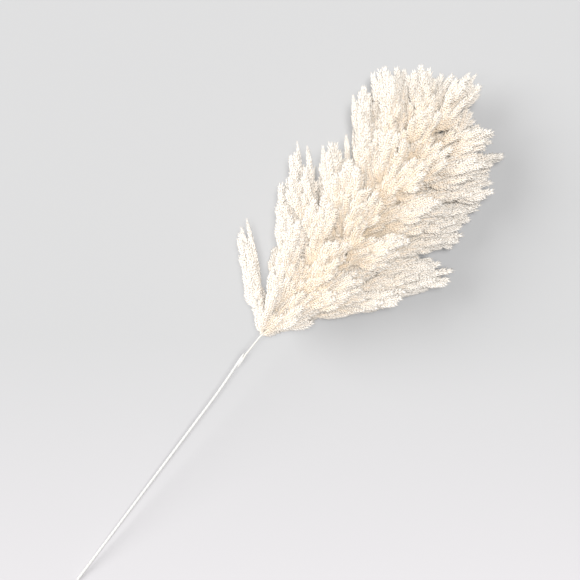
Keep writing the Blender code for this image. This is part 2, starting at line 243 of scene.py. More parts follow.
growth = {
    "seed": 37,
    "clearShare": 0.85,
    "clearance": 0.0008,
    "checkStep": 0.003,
    "softness": 0.0025,
    "sink": 0.72,
}


def spindle(shape, share):  # swells from the foot and tapers to the end
    atFoot, swell = shape["swell"]
    atEnd, taper = shape["taper"]
    swollen = shape["radius"] * min(1.0, atFoot + swell * share)
    return swollen * min(1.0, atEnd + taper * (1 - share))


def twigRadius(share):
    if share < twig["bareShare"]:
        return twig["footRadius"]
    return spindle(twig, (share - twig["bareShare"]) / (1 - twig["bareShare"]))


def fingerRadius(share):
    return spindle(finger, share)


def keptClear(radiusAt, part=growth["clearShare"]):
    return lambda share: part * radiusAt(share)


def aboveSurface(point, radius):
    low = growth["sink"] * radius
    over = point.z - low
    return Vector((point.x, point.y, low + (over + math.hypot(over, growth["softness"])) / 2))


def checkPlaces(points):
    count = max(2, math.ceil(lineLength(points) / growth["checkStep"]))
    return zip(evenly(points, count), spaced(0.0, 1.0, count))


class Neighbours:  # places along every line that has been added, each with its radius
    def __init__(self):
        self.placed = []
        self.sort()

    def sort(self):
        self.tree = kdtree.KDTree(len(self.placed))
        for i, (point, _) in enumerate(self.placed):
            self.tree.insert(point, i)
        self.tree.balance()

    def add(self, points, radiusAt):
        self.placed += [(point, radiusAt(share)) for point, share in checkPlaces(points)]
        self.sort()

    def crossings(self, points, radiusAt, skip=0.0):
        found = 0
        for point, share in checkPlaces(points):
            if share < skip:
                continue
            radius = radiusAt(share)
            near = self.tree.find_range(point, radius + twig["radius"] + growth["clearance"])
            if any(d < radius + self.placed[n][1] + growth["clearance"] for _, n, d in near):
                found += 1
        return found


def curve(start, first, second, end, count, radiusAt):
    line = interpolate_bezier(start, first, second, end, count)
    return [aboveSurface(point, radiusAt(s)) for point, s in zip(line, spaced(0.0, 1.0, count))]


def besideLine(heading, turn):  # a direction square to the line, turned about it from upright
    upright = (Vector((0, 0, 1)) - heading * heading.z).normalized()
    return upright * math.cos(turn) + heading.cross(upright) * math.sin(turn)


def twigLine(tip, moved):
    reach = math.hypot(tip.y - plumePoint(tip.x).y, tip.z - stemLine["footHeight"])
    along = tip.x - max(twig["spread"] * reach, twig["shortest"]) + moved
    along = max(twig["firstRoot"] + abs(moved), min(along, twig["lastRoot"]))
    base = plumePoint(along)
    forward = plumeHeading(along)
    out = (tip - base) - forward * (tip - base).dot(forward)
    lean = twig["lean"] * forward.angle(tip - base)
    out.normalize()
    heading = forward * math.cos(lean) + out * math.sin(lean)
    away = plumeRadius(along) + plumeLine["gap"] + twig["footRadius"] * math.cos(lean)
    root = base + out * away
    length = (tip - root).length
    first = root + heading * length * twig["handles"][0]
    second = tip - (tip - first).normalized() * length * twig["handles"][1]
    return curve(root, first, second, tip, twig["points"], twigRadius)


def growTwig(tip, neighbours, rng):
    best = None
    for attempt in range(twig["tries"]):
        share = attempt / twig["tries"]
        moved = tip + Vector([rng.uniform(-share, share) * twig["tipJitter"] for _ in range(3)])
        line = twigLine(moved, rng.uniform(-share, share) * twig["rootJitter"])
        count = neighbours.crossings(line, keptClear(twigRadius), twig["clearFrom"])
        if best is None or count < best[0]:
            best = (count, line)
        if count == 0:
            break
    return best


def fingerLine(twigPoints, span, turn, offset):
    twigLength = lineLength(twigPoints)
    length = twigLength * (span[1] - span[0])
    start, heading = alongLine(twigPoints, twigLength * span[0])
    beyond, final = alongLine(twigPoints, twigLength * span[1])
    out = besideLine(final, turn)
    start = start + out * finger["root"] * twigRadius(span[0])
    end = beyond + out * offset
    first = start + (heading + out * finger["slant"]).normalized() * length * finger["handles"][0]
    second = end - final * length * finger["handles"][1]
    return curve(start, first, second, end, finger["points"], fingerRadius)


def growFingers(twigPoints, spans, turn, step, neighbours, rng):
    fingers = []
    own = Neighbours()
    own.add(twigPoints, keptClear(twigRadius))
    for span in spans:
        turn += step
        moved = rng.uniform(*finger["shifts"])
        start, end = span[0] + moved, span[1] + moved
        offset = finger["offset"] * rng.uniform(*finger["offsetShares"])
        for attempt in range(finger["tries"]):
            swing = turn + math.pi * attempt / finger["tries"] * (-1) ** attempt
            nearer = offset * (1 - finger["drawIn"] * attempt)
            line = fingerLine(twigPoints, (start, end), swing, nearer)
            blocked = neighbours.crossings(line, keptClear(fingerRadius))
            beside = line[finger["clearFrom"]:]
            crowded = own.crossings(beside, keptClear(fingerRadius))
            if not blocked and not crowded:
                fingers.append(line)
                own.add(beside, keptClear(fingerRadius))
                break
    return fingers


def growPlume():
    rng = random.Random(growth["seed"])
    neighbours = Neighbours()
    inner = [plumePoint(x) for x in spaced(0.0, plumeLine["end"], plumeLine["checkPlaces"])]
    neighbours.add(inner, lambda share: plumeLine["radius"])
    sprays = []
    for tip in outlineTips + lowerTips + upperTips:
        crossed, line = growTwig(Vector(tip), neighbours, rng)
        if crossed:
            continue
        if tip == outlineTips[0]:
            spiral = (finger["leftSpans"], finger["leftTurn"], finger["leftStep"])
        else:
            spiral = (finger["spans"], rng.uniform(0, math.tau), finger["turn"])
        fingers = growFingers(line, *spiral, neighbours, rng)
        neighbours.add(line, keptClear(twigRadius))
        for each in fingers:
            neighbours.add(each, keptClear(fingerRadius))
        sprays.append((line, fingers))
    return sprays


sprays = growPlume()
print(len(sprays), "sprays with", sum(len(fingers) for _, fingers in sprays), "fingers")


# short branchlets that fill the room left beside every twig and finger
branchlet = {
    "radius": 0.0058,
    "swell": (0.55, 1.5),
    "taper": (0.95, 1.8),
    "lengths": (0.024, 0.040),
    "reach": 0.9,
    "handle": 0.35,
    "spacing": 0.0053,
    "from": 0.003,
    "overrun": 0.006,
    "slant": 0.70,
    "offsets": (0.0070, 0.0105),
    "clearShare": 0.34,
    "clearFrom": 0.45,
    "points": 8,
    "seed": 3,
    "strays": [  # ends of single branchlets that close the outline between the sprays
        (0.463, -0.042, 0.080),
        (0.458, -0.052, 0.075),
        (0.438, -0.100, 0.100),
        (0.424, -0.098, 0.100),
        (0.294, -0.152, 0.065),
        (0.281, -0.149, 0.060),
        (0.488, 0.004, 0.065),
        (0.449, 0.066, 0.075),
        (0.391, 0.099, 0.090),
        (0.358, -0.145, 0.055),
        (0.301, -0.136, 0.070),
        (0.296, 0.081, 0.105),
        (0.103, 0.114, 0.100),
        (0.432, -0.036, 0.085),
        (0.428, -0.038, 0.100),
        (0.425, -0.048, 0.095),
        (0.344, -0.120, 0.075),
        (0.356, -0.129, 0.070),
    ],
    "strayLength": 0.045,
    # gaps seen from above, as x, y and radius: no branchlet's line but a stray's enters one,
    # and twigs and fingers whose lines cross one are slim
    "clearings": [
        (0.110, 0.088, 0.011),
        (0.093, 0.069, 0.011),
        (0.077, 0.047, 0.009),
        (0.064, 0.032, 0.006),
        (0.252, 0.101, 0.012),
        (0.243, 0.081, 0.009),
        (0.298, 0.062, 0.012),
        (0.351, 0.101, 0.013),
        (0.199, -0.166, 0.013),
        (0.174, -0.148, 0.019),
        (0.132, -0.131, 0.018),
        (0.102, -0.104, 0.018),
        (0.069, -0.080, 0.018),
        (0.039, -0.057, 0.019),
        (0.013, -0.033, 0.018),
        (0.510, -0.019, 0.013),
        (0.215, 0.115, 0.009),
        (0.181, 0.110, 0.009),
        (0.266, 0.086, 0.008),
        (0.324, 0.071, 0.009),
        (0.390, 0.091, 0.006),
    ],
}


def inClearing(line):
    return any(
        math.hypot(point.x - x, point.y - y) < radius
        for x, y, radius in branchlet["clearings"]
        for point in line
    )


def branchletRadius(share):
    return spindle(branchlet, share)


def branchletLine(parent, distance, turn, rng):
    length = rng.uniform(*branchlet["lengths"])
    start, heading = alongLine(parent, distance)
    beyond, final = alongLine(parent, distance + branchlet["reach"] * length)
    out = besideLine(final, turn)
    end = beyond + out * rng.uniform(*branchlet["offsets"])
    slanted = (heading + out * branchlet["slant"]).normalized()
    first = start + slanted * length * branchlet["handle"]
    second = end - final * length * branchlet["handle"]
    return curve(start, first, second, end, branchlet["points"], lambda s: branchlet["radius"])


def growBranchlets(line, fingers, neighbours, rng):
    found = []
    own = Neighbours()
    kept = keptClear(branchletRadius, branchlet["clearShare"])
    skip = branchlet["clearFrom"]
    for parent in [line] + fingers:
        turn = rng.uniform(0, math.tau)
        high = lineLength(parent) - branchlet["lengths"][1] + branchlet["overrun"]
        for distance in np.arange(branchlet["from"], high, branchlet["spacing"]):
            turn += finger["turn"]
            each = branchletLine(parent, float(distance), turn, rng)
            if inClearing(each):
                continue
            if not neighbours.crossings(each, kept, skip) and not own.crossings(each, kept, skip):
                found.append(each)
                own.add(each, kept)
    neighbours.placed += own.placed
    neighbours.add(line[:2], kept)  # keeps the foot clear too, and sorts all of them
    return found


# a stray starts from the spray whose tip is nearest
def addStrays(found):
    for end in map(Vector, branchlet["strays"]):
        number = min(range(len(sprays)), key=lambda i: (sprays[i][0][-1] - end).length)
        spine = sprays[number][0]
        start, heading = alongLine(spine, lineLength(spine) - branchlet["strayLength"])
        handle = (end - start).length * branchlet["handle"]
        first = start + heading * handle
        second = end - (end - start).normalized() * handle
        found[number].append(interpolate_bezier(start, first, second, end, branchlet["points"]))
    return found


def fillPlume():
    rng = random.Random(branchlet["seed"])
    loose = Neighbours()
    for line, fingers in sprays:
        loose.add(line, keptClear(twigRadius, branchlet["clearShare"]))
        for each in fingers:
            loose.add(each, keptClear(fingerRadius, branchlet["clearShare"]))
    return addStrays([growBranchlets(line, fingers, loose, rng) for line, fingers in sprays])


branchlets = fillPlume()
print(sum(len(found) for found in branchlets), "branchlets")


# from the plume's foot to the frame: the main stem's box says where the cut end lies
def frameShift():
    low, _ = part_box("main_stem")
    risen = stemLine["footHeight"] - stemLine["sink"] * stemLine["radius"]
    climb = math.atan2(risen, -stemLine["cutEnd"])
    endX = low.x + stemLine["radius"] * math.sin(climb)
    return Vector((endX - stemLine["cutEnd"], low.y + stemLine["radius"], 0.0))


shift = frameShift()
print("the plume's foot is at", [round(v, 4) for v in shift])


class Wire:  # one output of a shader node, which Python's operators can work with
    def __init__(self, board, socket):
        self.board = board
        self.socket = socket

    def __add__(self, other):
        return self.board.maths("ADD", self, other)

    def __sub__(self, other):
        return self.board.maths("SUBTRACT", self, other)

    def __rsub__(self, other):
        return self.board.maths("SUBTRACT", other, self)

    def __mul__(self, other):
        return self.board.maths("MULTIPLY", self, other)

    def __pow__(self, other):
        return self.board.maths("POWER", self, other)

    __radd__ = __add__
    __rmul__ = __mul__


class Board:  # the node tree of one material
    def __init__(self, name):
        self.material = bpy.data.materials.new(name)
        self.material.use_nodes = True
        self.tree = self.material.node_tree
        self.shader = self.tree.nodes["Principled BSDF"]

    def node(self, kind, settings=None, sockets=None, out=0):
        made = self.tree.nodes.new(kind)
        for key, value in (settings or {}).items():
            setattr(made, key, value)
        for key, value in (sockets or {}).items():
            self.feed(made.inputs[key], value)
        return Wire(self, made.outputs[out])

    def feed(self, socket, value):
        if isinstance(value, Wire):
            self.tree.links.new(value.socket, socket)
        else:
            socket.default_value = value

    def maths(self, operation, first, second):
        return self.node("ShaderNodeMath", {"operation": operation}, {0: first, 1: second})

    def mixColours(self, share, first, second):
        sockets = {0: share, 6: first, 7: second}
        return self.node("ShaderNodeMix", {"data_type": "RGBA"}, sockets, out=2)

    def noise(self, place, scale, detail=2.0, roughness=0.5):
        sockets = {"Vector": place, "Scale": scale, "Detail": detail, "Roughness": roughness}
        return self.node("ShaderNodeTexNoise", sockets=sockets)

    def bump(self, strength, distance, height):
        sockets = {"Strength": strength, "Distance": distance, "Height": height}
        return self.node("ShaderNodeBump", sockets=sockets)

    def attribute(self, name):
        return self.node("ShaderNodeAttribute", {"attribute_name": name}, out="Fac")

    def place(self):
        return self.node("ShaderNodeTexCoord", out="Object")

    def finish(self, **sockets):
        for key, value in sockets.items():
            self.feed(self.shader.inputs[key.replace("_", " ")], value)
        return self.material


# florets: tan at their roots, cream along them and nearly white at their points;
# the roots' tan is partly their own colour and partly painted shade, painted shade
# deepens the tan further into the plume, and painted light whitens them towards its outline
floretLook = {
    "root": (0.965, 0.77, 0.56, 1.0),
    "middle": (0.97, 0.873, 0.762, 1.0),
    "point": (0.97, 0.92, 0.855, 1.0),
    # the tan mixed in, both for random patches and for painted shade deep in the plume
    "tanAndShade": (0.95, 0.735, 0.49, 1.0),
    # the near-white of the painted light at the plume's outline
    "outer": (0.965, 0.92, 0.862, 1.0),
    "rootPower": 0.6,
    "pointPower": 2.0,
    "paintedLightPower": 2.0,
    "paintedLightShare": 0.85,
    "patchScale": 30.0,
    "tanAndShadeMix": 0.50,
    "warmPatches": 0.6,
    "warmChance": 0.2,
    "warmShade": 0.3,
    "shadeLessOutward": 0.80,
    "shadeLessAlong": 0.50,
    "roughness": 0.78,
    "sheen": 0.9,
    "sheenRoughness": 0.6,
    "sheenTint": (1.0, 0.91, 0.78, 1.0),
    "specular": 0.25,
}


def floretMaterial():
    look = floretLook
    board = Board("cream florets")
    rise = board.attribute("rise")
    chance = board.attribute("chance")
    shade = board.attribute("shade")
    outward = board.attribute("outward")
    along = board.attribute("along")
    patches = board.noise(board.place(), look["patchScale"])
    # the root tan is partly the florets' own colour and partly painted shade where they crowd at the
    # core
    body = board.mixColours(rise ** look["rootPower"], look["root"], look["middle"])
    body = board.mixColours(rise ** look["pointPower"], body, look["point"])
    # painted shade: more tan further into the plume and towards each brush's base, besides random
    # tan patches
    tanAndShadeMix = patches * look["warmPatches"] + chance * look["warmChance"]
    tanAndShadeMix = tanAndShadeMix + shade * look["warmShade"] + look["tanAndShadeMix"]
    tanAndShadeMix = tanAndShadeMix - outward * look["shadeLessOutward"] - along * look["shadeLessAlong"]
    body = board.mixColours(tanAndShadeMix, body, look["tanAndShade"])
    # painted light: nearly white towards the plume's outline, where the tips catch the light
    pale = (outward ** look["paintedLightPower"]) * look["paintedLightShare"]
    body = board.mixColours(pale, body, look["outer"])
    return board.finish(
        Base_Color=body,
        Roughness=look["roughness"],
        Sheen_Weight=look["sheen"],
        Sheen_Roughness=look["sheenRoughness"],
        Sheen_Tint=look["sheenTint"],
        Specular_IOR_Level=look["specular"],
    )


# white paper tape wound round the stem, with painted shade along the edges of its laps, and finely
# creased
tapeLook = {
    "paper": (0.62, 0.61, 0.59, 1.0),
    "lapShade": (0.36, 0.35, 0.33, 1.0),
    "lapShadeShare": 0.8,
    "fibreScale": 160.0,
    "fibreDetail": 3.0,
    "fibreShare": 0.3,
    "creaseScale": 900.0,
    "creaseDetail": 4.0,
    "creaseRoughness": 0.6,
    "creaseStrength": 0.25,
    "creaseDepth": 0.0002,
    "roughness": 0.62,
    "roughnessShare": 0.2,
    "specular": 0.3,
}


def tapeMaterial():
    look = tapeLook
    board = Board("white stem tape")
    lapShade = board.attribute("lapShade")
    place = board.place()
    creases = board.noise(place, look["creaseScale"], look["creaseDetail"], look["creaseRoughness"])
    fibres = board.noise(place, look["fibreScale"], look["fibreDetail"])
    # painted shade along the laps' edges, with random fibre tone
    darker = lapShade * look["lapShadeShare"] + (fibres - 0.5) * look["fibreShare"]
    return board.finish(
        Base_Color=board.mixColours(darker, look["paper"], look["lapShade"]),
        Roughness=look["roughness"] + (fibres - 0.5) * look["roughnessShare"],
        Normal=board.bump(look["creaseStrength"], look["creaseDepth"], creases),
        Specular_IOR_Level=look["specular"],
    )


# the plume's own stem: straw, streaked along its length
strawLook = {
    "pale": (0.70, 0.68, 0.635, 1.0),
    "dark": (0.60, 0.56, 0.485, 1.0),
    "darkShare": 0.9,
    "streaks": (12.0, 900.0, 900.0),
    "streakDetail": 3.0,
    "streakStrength": 0.3,
    "streakDepth": 0.0002,
    "roughness": 0.55,
}


def strawMaterial():
    look = strawLook
    board = Board("pale straw")
    scaled = {"Vector": board.place(), "Scale": look["streaks"]}
    streaks = board.noise(board.node("ShaderNodeMapping", sockets=scaled), 1.0, look["streakDetail"])
    return board.finish(
        Base_Color=board.mixColours(streaks * look["darkShare"], look["pale"], look["dark"]),
        Roughness=look["roughness"],
        Normal=board.bump(look["streakStrength"], look["streakDepth"], streaks),
    )


florets = floretMaterial()
tape = tapeMaterial()
straw = strawMaterial()
print("materials made")


def meshFrom(bm, name):
    mesh = bpy.data.meshes.new(name)
    bm.to_mesh(mesh)
    bm.free()
    return mesh


def placesOf(mesh):
    co = np.empty(len(mesh.vertices) * 3)
    mesh.vertices.foreach_get("co", co)
    return co.reshape(-1, 3)


def markPoints(mesh, name, values):
    kept = mesh.attributes.new(name, "FLOAT", "POINT")
    kept.data.foreach_set("value", values.astype(np.float32))


def placed(name, data):
    obj = bpy.data.objects.new(name, data)
    bpy.context.scene.collection.objects.link(obj)
    return obj


# tubes are grids rolled up: placeAt tells where a vertex goes, and its mark, from its share
# along the tube and its turn round it
tube = {
    "weld": 1e-6,
    "headingStep": 0.0005,
    "lowest": 0.0001,
    "sharp": math.radians(50),
    "leastEnd": 0.02,
}


def rolledGrid(placeAt, steps, sides, marks=("lapShade",), rejoins=False):
    bm = bmesh.new()
    layers = [bm.verts.layers.float.new(mark) for mark in marks]
    bmesh.ops.create_grid(bm, x_segments=steps, y_segments=sides, size=1.0)
    for vert in bm.verts:
        place, mark = placeAt((vert.co.x + 1) / 2, (vert.co.y + 1) / 2 * math.tau)
        vert.co = place
        vert[layers[0]] = mark
    bmesh.ops.remove_doubles(bm, verts=bm.verts, dist=tube["weld"])
    if not rejoins:
        bmesh.ops.holes_fill(bm, edges=[edge for edge in bm.edges if edge.is_boundary], sides=0)
    bmesh.ops.recalc_face_normals(bm, faces=bm.faces)
    return bm


# one brush is a straight finger clothed in florets, later bent along its line
brush = {
    "radius": 0.0060,
    "lengths": [0.025, 0.03, 0.035, 0.04, 0.05, 0.06, 0.07, 0.08, 0.09, 0.10, 0.11, 0.12, 0.13],
    "variants": 2,
    "whorlPitch": 0.0036,
    "fewestWhorls": 3,
    "firstWhorl": 0.2,
    "perWhorl": 7,
    "length": 0.0080,
    "width": 0.0032,
    "thickness": 0.0018,
    "widest": 0.40,
    "sides": 3,
    "lean": math.radians(40),
    "leanJitter": math.radians(6),
    "turnJitter": 0.3,
    "rollJitter": 0.5,
    "closing": 0.5,
    "rootReach": 0.0010,
    "sizeJitter": 0.10,
    "whorlSpread": 0.0007,
    "coreShare": 0.30,
    "twigReach": 0.005,
    "fingerReach": 0.003,
    "tipRadius": 0.0062,
    "tipFrom": 0.5,
    "slim": 0.80,
    "coreSides": 4,
    "coreRings": 6,
    "samples": 24,
    "radiusSamples": 41,
    "lowest": 0.0003,
    "seed": 5,
    "clothingSeed": 11,
}

alongX = Matrix.Rotation(math.pi / 2, 3, "Y")  # lays what stands along +Z down along +X


# a pointed, three-sided scale along +X, widest a little before its middle
def floretMaster():
    length, sides = brush["length"], brush["sides"]
    bm = bmesh.new()
    rise = bm.verts.layers.float.new("rise")
    bm.verts.layers.float.new("chance")
    along = length * (1 - brush["widest"])
    bmesh.ops.create_cone(
        bm, cap_ends=True, segments=sides, radius1=0.5, radius2=0.0, depth=along
    )
    base = next(face for face in bm.faces if len(face.verts) == sides and face.normal.z < -0.5)
    root = bmesh.ops.poke(bm, faces=[base])["verts"][0]
    root.co.z -= length * brush["widest"]
    bmesh.ops.scale(bm, vec=(brush["width"], brush["thickness"], 1.0), verts=bm.verts)
    bmesh.ops.translate(bm, vec=(0, 0, length - along / 2), verts=bm.verts)
    for vert in bm.verts:
        vert[rise] = min(1.0, max(0.0, vert.co.z / length))
    bmesh.ops.rotate(bm, cent=(0, 0, 0), matrix=alongX, verts=bm.verts)
    return bm


# each floret is rolled about its length, leant outwards and turned to its place in its whorl
def addFlorets(bm, master, length, whorls, rng):
    chance = bm.verts.layers.float["chance"]
    for i in range(whorls * brush["perWhorl"]):
        whorl, number = divmod(i, brush["perWhorl"])
        along = length * (whorl + brush["firstWhorl"]) / whorls
        along += rng.uniform(-1, 1) * brush["whorlSpread"]
        turn = (number + 0.5 * (whorl % 2)) * math.tau / brush["perWhorl"]  # whorls alternate
        turn += rng.uniform(-brush["turnJitter"], brush["turnJitter"])
        closing = min(1.0, brush["closing"] * (whorls - whorl))  # the last whorl leans less
        lean = (brush["lean"] + rng.uniform(-1, 1) * brush["leanJitter"]) * closing
        size = 1 + rng.uniform(-1, 1) * brush["sizeJitter"]
        roll = rng.uniform(-brush["rollJitter"], brush["rollJitter"])
        place = (
            Matrix.Translation((along, 0, 0))
            @ Matrix.Rotation(turn, 4, "X")
            @ Matrix.Translation((0, 0, brush["rootReach"]))
            @ Matrix.Rotation(-lean, 4, "Y")
            @ Matrix.Rotation(roll, 4, "X")
            @ Matrix.Scale(size, 4)
        )
        made = bmesh.ops.duplicate(bm, geom=master)["geom"]
        fresh = [item for item in made if isinstance(item, bmesh.types.BMVert)]
        bmesh.ops.transform(bm, matrix=place, verts=fresh)
        luck = rng.random()
        for vert in fresh:
            vert[chance] = luck


def addCore(bm, length):
    made = bmesh.ops.create_circle(bm, cap_ends=True, segments=brush["coreSides"], radius=1.0)
    ring = made["verts"]
    bmesh.ops.rotate(bm, cent=(0, 0, 0), matrix=alongX, verts=ring)
    bmesh.ops.scale(bm, vec=[brush["radius"] * brush["coreShare"]] * 3, verts=ring)
    loop = list(dict.fromkeys(edge for vert in ring for edge in vert.link_edges))
    for _ in range(1, brush["coreRings"]):
        made = bmesh.ops.extrude_edge_only(bm, edges=loop)["geom"]
        ring = [item for item in made if isinstance(item, bmesh.types.BMVert)]
        loop = [item for item in made if isinstance(item, bmesh.types.BMEdge)]
        bmesh.ops.translate(bm, vec=(length / (brush["coreRings"] - 1), 0, 0), verts=ring)
    loop = [edge for edge in loop if edge.is_boundary]
    bmesh.ops.holes_fill(bm, edges=loop, sides=0)


def fingerBrush(length, rng):
    bm = floretMaster()
    masterVerts = bm.verts[:]
    whorls = max(brush["fewestWhorls"], round(length / brush["whorlPitch"]))
    addFlorets(bm, masterVerts + bm.edges[:] + bm.faces[:], length, whorls, rng)
    bmesh.ops.delete(bm, geom=masterVerts, context="VERTS")
    addCore(bm, length)
    bmesh.ops.recalc_face_normals(bm, faces=bm.faces)
    mesh = meshFrom(bm, "brush")
    mesh.shade_smooth()
    return mesh


def makeBrushes():
    rng = random.Random(brush["seed"])
    return {
        length: [fingerBrush(length, rng) for _ in range(brush["variants"])]
        for length in brush["lengths"]
    }


# the bare foot of a twig, bent along its line like the brushes
foot = {
    "length": 0.012,
    "sides": 6,
    "rings": 6,
    "radius": 0.0011,
    "share": 0.14,
    "points": 8,
    "gapShare": 1.5,  # reaches across the gap and into the plume's stem
}


def makeFoot():
    def placeAt(share, turn):
        radius = brush["radius"]
        return (share * foot["length"], radius * math.cos(turn), radius * math.sin(turn)), 0.0

    bm = rolledGrid(placeAt, foot["rings"], foot["sides"], marks=("rise", "chance"))
    mesh = meshFrom(bm, "foot")
    mesh.shade_smooth()
    return mesh


footMesh = makeFoot()
brushes = makeBrushes()
print("brushes made,", sum(len(m.polygons) for kept in brushes.values() for m in kept), "faces")


def frames(points):
    headings = [(b - a).normalized() for a, b in zip(points, points[1:])]
    headings.append(headings[-1])
    side = headings[0].orthogonal().normalized()
    found = []
    for before, heading in zip([headings[0]] + headings, headings):
        side = before.rotation_difference(heading) @ side
        found.append((heading, side, heading.cross(side)))
    return found


# a brush bent along a line, with its radius as that line has it at each place
def bentBrush(mesh, brushLength, line, radiusAt, turn, shade):
    points = evenly(line, brush["samples"])
    turned = frames(points)
    total = lineLength(line)
    stations = np.linspace(0.0, total, brush["samples"])
    co = placesOf(mesh)
    along = co[:, 0] * total / brushLength
    shares = np.clip(along / total, 0.0, 1.0)
    known = np.linspace(0, 1, brush["radiusSamples"])
    scales = np.interp(shares, known, [radiusAt(s) for s in known]) / brush["radius"]
    across = (co[:, 1] * math.cos(turn) - co[:, 2] * math.sin(turn)) * scales
    above = (co[:, 1] * math.sin(turn) + co[:, 2] * math.cos(turn)) * scales
    result = np.empty(co.shape)
    past = np.clip(along - total, 0.0, None)
    for k in range(3):
        centre = np.interp(along, stations, [p[k] for p in points])
        sides = np.interp(along, stations, [f[1][k] for f in turned])
        overs = np.interp(along, stations, [f[2][k] for f in turned])
        result[:, k] = centre + sides * across + overs * above + turned[-1][0][k] * past
    result += np.array(shift)
    result[:, 2] = np.maximum(result[:, 2], brush["lowest"])
    made = mesh.copy()
    made.vertices.foreach_set("co", result.astype(np.float32).ravel())
    markPoints(made, "shade", np.full(len(co), shade))
    markPoints(made, "along", shares)
    return made


def clothe(bm, line, radiusAt, rng):
    total = lineLength(line)
    length = min(brushes, key=lambda each: abs(each - total))
    mesh = rng.choice(brushes[length])
    made = bentBrush(mesh, length, line, radiusAt, rng.uniform(0, math.tau), rng.random())
    bm.from_mesh(made)
    bpy.data.meshes.remove(made)


def fluffier(radiusAt, slim):
    if slim:
        return lambda share: radiusAt(share) * brush["slim"]
    full = brush["tipRadius"]
    return lambda share: max(radiusAt(share), full * min(1.0, share / brush["tipFrom"]))


def beyondEnd(line, reach):
    return line + [line[-1] + (line[-1] - line[-2]).normalized() * reach]


def between(line, low, high, count):
    return [alongLine(line, distance)[0] for distance in spaced(low, high, count)]


def addFoot(bm, line, rng):
    reach = lineLength(line) * foot["share"]
    begun = line[0] - (line[1] - line[0]).normalized() * plumeLine["gap"] * foot["gapShare"]
    part = [begun] + between(line, 0.0, reach, foot["points"])
    made = bentBrush(footMesh, foot["length"], part, lambda s: foot["radius"], 0.0, rng.random())
    bm.from_mesh(made)
    bpy.data.meshes.remove(made)


# how far out each vertex lies, along its spray and sideways from the plume's stem,
# where the florets at the plume's foot count as lying further out
# the floret colour turns this into painted shade further in and painted light further out
outwardness = {
    "reachShare": 0.45,
    "asideShare": 0.55,
    "footShare": 0.5,
    "paleFoot": 0.085,
    "halfWidths": (0.012, 0.12),
    "fullWidthAt": 0.18,
    "stemPlaces": 30,
}


def markOutward(mesh, line):
    o = outwardness
    co = placesOf(mesh)
    spine = line[-1] - line[0]
    reach = np.linalg.norm(co - np.array(line[0] + shift), axis=1) / spine.length
    aside = np.ones(len(co))
    for x in spaced(0.0, plumeLine["end"], o["stemPlaces"]):
        away = np.hypot(*(co - np.array(plumePoint(x) + shift))[:, :2].T)
        aside = np.minimum(aside, away / blend(x, 0.0, o["fullWidthAt"], *o["halfWidths"]))
    atFoot = np.clip(1 - (co[:, 0] - shift.x) / o["paleFoot"], 0.0, 1.0)
    outward = np.clip(reach, 0.0, 1.0) * o["reachShare"] + aside * o["asideShare"]
    markPoints(mesh, "outward", np.clip(outward + atFoot * o["footShare"], 0.0, 1.0))


def buildSpray(number, line, fingers, filling, rng):
    bm = bmesh.new()
    addFoot(bm, line, rng)
    bare, total = twig["bareShare"], lineLength(line)

    def clothedRadius(share):  # just past the bare foot, even at its start
        return twigRadius(bare + share * (1 - bare) + twig["pastFoot"])

    alone = number == 1  # the first spray stands apart from the others
    clothed = between(line, total * bare, total, brush["samples"])
    clothed = beyondEnd(clothed, brush["twigReach"])
    clothe(bm, clothed, fluffier(clothedRadius, alone or inClearing(clothed)), rng)
    for each in fingers:
        slim = alone or inClearing(each)
        clothe(bm, beyondEnd(each, brush["fingerReach"]), fluffier(fingerRadius, slim), rng)
    for each in filling:
        clothe(bm, each, branchletRadius, rng)
    mesh = meshFrom(bm, f"floret_spray_{number:02d}")
    markOutward(mesh, line)
    mesh.materials.append(florets)
    obj = placed(mesh.name, mesh)
    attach(obj, "root")
    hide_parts(f"spray_{number:02d}")
    return len(mesh.polygons)


clothingRng = random.Random(brush["clothingSeed"])
faceCount = 0
for number, ((line, fingers), filling) in enumerate(zip(sprays, branchlets), start=1):
    faceCount += buildSpray(number, line, fingers, filling, clothingRng)
print("sprays built,", faceCount, "faces")


def stemPiece(bm, name, node, material):
    bmesh.ops.translate(bm, vec=shift, verts=bm.verts)
    for vert in bm.verts:
        vert.co.z = max(vert.co.z, tube["lowest"])
    mesh = meshFrom(bm, name)
    mesh.shade_smooth()
    mesh.set_sharp_from_angle(angle=tube["sharp"])
    mesh.materials.append(material)
    obj = placed(name, mesh)
    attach(obj, "root")
    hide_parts(node)


def roundAbout(pointAt, x, turn, radius):
    step = tube["headingStep"]
    heading = (pointAt(x + step) - pointAt(x - step)).normalized()
    side = (Vector((0, 1, 0)) - heading * heading.y).normalized()
    return pointAt(x) + (side * math.cos(turn) + heading.cross(side) * math.sin(turn)) * radius


# the tape is wound on with laps: each steps up at its edge and slopes away behind it, and its mark
# is painted shade along that edge
windings = {
    "pitch": 0.0085,
    "height": 0.00018,
    "drawn": 0.88,
    "edge": 0.12,
    "mark": 0.10,
    "ringStep": 0.0009,
    "sides": 24,
    "endWall": 0.0004,
    "endDepth": 0.0007,
    "endReach": 0.01,
}


def lapAt(along, turn):
    share = (along / windings["pitch"] + turn / math.tau) % 1.0
    edge = windings["edge"]
    rise = share / edge if share < edge else (1 - share) / (1 - edge)
    # the mark is painted shade in the step at each lap's edge
    mark = max(0.0, 1 - min(share, 1 - share) / windings["mark"])
    return (rise - 0.5) * windings["height"], mark


def roundedEnd(x, end, radius):
    past = min(1.0, max(0.0, (x - (end - radius)) / radius))
    return math.sqrt(max(tube["leastEnd"], 1 - past * past))


